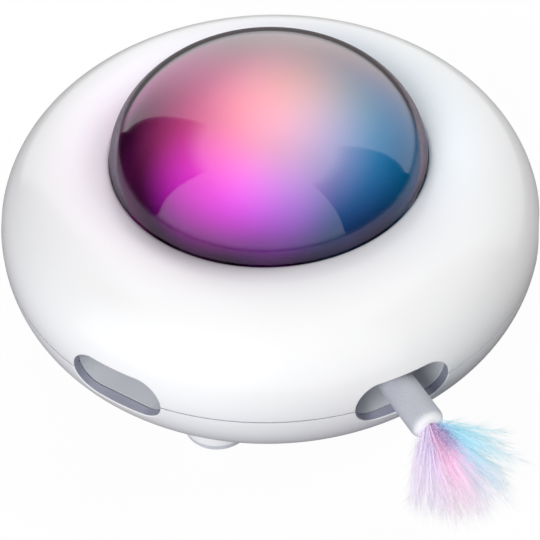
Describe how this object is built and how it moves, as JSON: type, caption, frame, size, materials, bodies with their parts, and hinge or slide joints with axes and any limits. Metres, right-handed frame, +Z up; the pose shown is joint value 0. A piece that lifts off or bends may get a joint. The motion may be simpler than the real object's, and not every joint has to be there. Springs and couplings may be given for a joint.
{
  "type": "automatic cat teaser",
  "caption": "Saucer shaped battery cat teaser: smoked lit dome over a glossy casing with paw slots, and a motor driven wand with a soft tuft that reaches out of each slot in turn.",
  "frame": {"origin": "on the floor under the centre of the round casing, at the plane of the feet", "axes": "+Z up along the axis of the casing and the dome; -Y to the front, the way the wand points at rest"},
  "size_m": [0.19, 0.2358, 0.0991],
  "materials": {
    "white_gloss": "glossy white moulded plastic",
    "smoked_dome": "smoked clear plastic, polished",
    "frosted_diffuser": "frosted, lit from behind",
    "white_board": "white solder mask",
    "lamp": "lamp package",
    "screw_steel": "zinc plated",
    "grey_plastic": "fine texture",
    "motor_metal": "plated",
    "gear_plastic": "natural moulded",
    "shaft_steel": "ground",
    "bush_brass": "turned",
    "wand_grey": "fine texture",
    "wand_white": "smooth",
    "tuft": "soft fluff, cyan to pink",
    "tray_grey": "fine texture",
    "battery_wrap": "film wrapped",
    "green_board": "solder mask",
    "black_plastic": "moulded",
    "button_grey": "satin",
    "foot_rubber": "translucent soft rubber"
  },
  "bodies": {
    "casing": {"upper_shell": "white_gloss", "lower_shell": "white_gloss", "dome_lens": "smoked_dome", "light_diffuser": "frosted_diffuser", "led_board": "white_board", "leds": "lamp", "led_screws": "screw_steel", "mechanism_frame": "grey_plastic", "frame_screws": "screw_steel", "gear_motor": "motor_metal", "motor_clamp": "grey_plastic", "clamp_screws": "screw_steel", "sun_gear": "gear_plastic", "floor_tray": "tray_grey", "tray_screws": "screw_steel", "battery": "battery_wrap", "battery_strap": "grey_plastic", "strap_screws": "screw_steel", "main_board": "green_board", "board_screws": "screw_steel", "usb_socket": "motor_metal", "tact_switch": "black_plastic", "foot_front_left": "foot_rubber", "foot_front_right": "foot_rubber", "foot_rear_left": "foot_rubber", "foot_rear_right": "foot_rubber", "case_screws": "screw_steel"},
    "turntable": {"turntable": "grey_plastic", "motor_shaft": "shaft_steel", "hub_screw": "screw_steel", "idler_pin": "shaft_steel", "wand_bush": "bush_brass"},
    "idler": {"idler_gear": "gear_plastic"},
    "wand": {"wand_gear": "gear_plastic", "wand_shaft": "shaft_steel", "shaft_clip": "screw_steel", "wand_arm": "wand_grey", "wand_screw": "screw_steel", "wand_tube": "wand_grey", "wand_tip": "wand_white", "feather_tuft": "tuft"},
    "power_button": {"power_button": "button_grey", "switch_plunger": "black_plastic"}
  },
  "joints": [
    {"name": "turntable_spin", "type": "hinge", "parent": "casing", "child": "turntable", "pos_m": [0, 0, 0.045], "axis": [0, 0, 1], "continuous": true},
    {"name": "idler_spin", "type": "hinge", "parent": "turntable", "child": "idler", "pos_m": [0, -0.0132, 0.049], "axis": [0, 0, 1], "continuous": true},
    {"name": "wand_swing", "type": "hinge", "parent": "turntable", "child": "wand", "pos_m": [0, -0.0252, 0.044], "axis": [0, 0, 1], "continuous": true, "deforming": ["feather_tuft"]},
    {"name": "power_button_press", "type": "slide", "parent": "casing", "child": "power_button", "axis": [0, 0, 1], "range_m": [0, 0.0008], "stiffness_N_per_m": 900}
  ],
  "couplings": [
    {"joint": "idler_spin", "follows": "turntable_spin", "ratio": 1.2},
    {"joint": "wand_swing", "follows": "turntable_spin", "ratio": -1.2}
  ]
}
